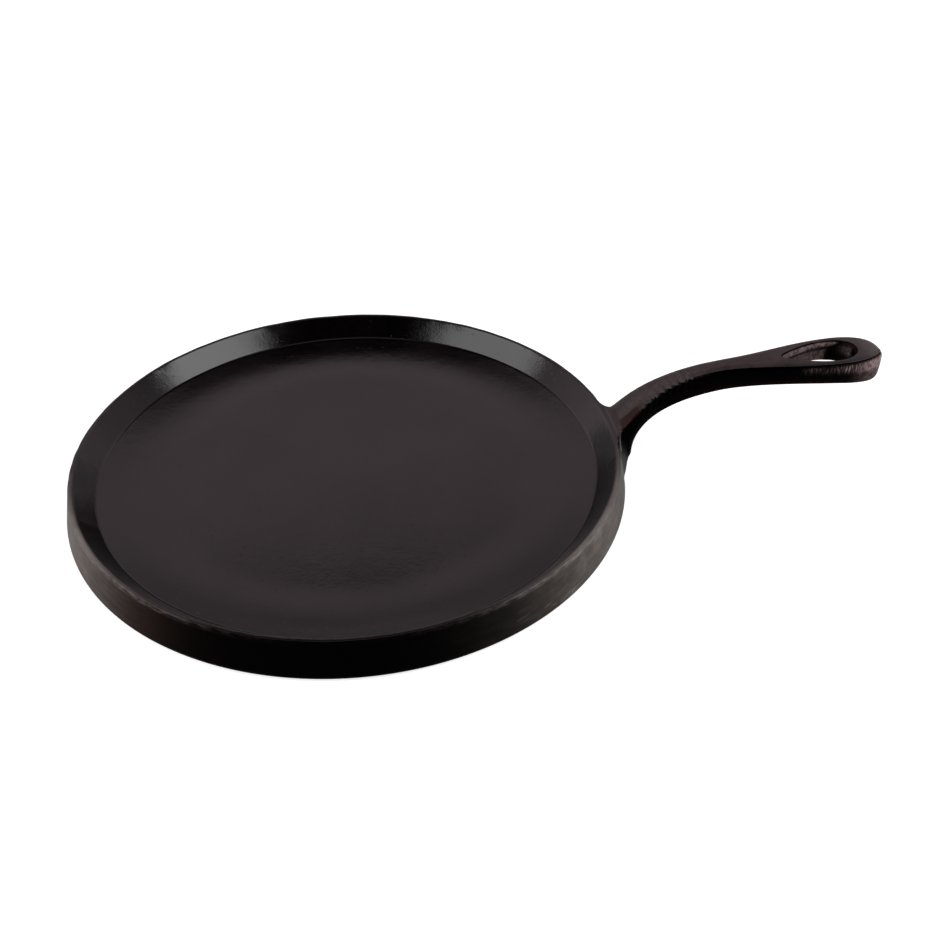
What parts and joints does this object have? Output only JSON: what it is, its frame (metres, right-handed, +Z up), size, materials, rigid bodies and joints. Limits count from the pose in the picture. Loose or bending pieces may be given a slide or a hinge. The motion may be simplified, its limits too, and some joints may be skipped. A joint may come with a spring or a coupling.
{
  "type": "flat iron frying pan",
  "caption": "Round flat cast-iron pan with a low sloping rim, a raised curved handle with thumb ribs and an egg-shaped hanging eye.",
  "frame": {"origin": "centre of the round dish, on the flat under side that the pan rests on", "axes": "+X from the dish's centre along the handle towards its tip, +Z up out of the cooking floor, +Y to the left of the handle seen from the dish's centre"},
  "size_m": [0.3832, 0.2564, 0.0484],
  "materials": {
    "seasoned_iron": "satin black baked-on seasoning over fine sand-cast grain"
  },
  "bodies": {
    "root": {"pan_casting": "seasoned_iron"}
  },
  "joints": []
}
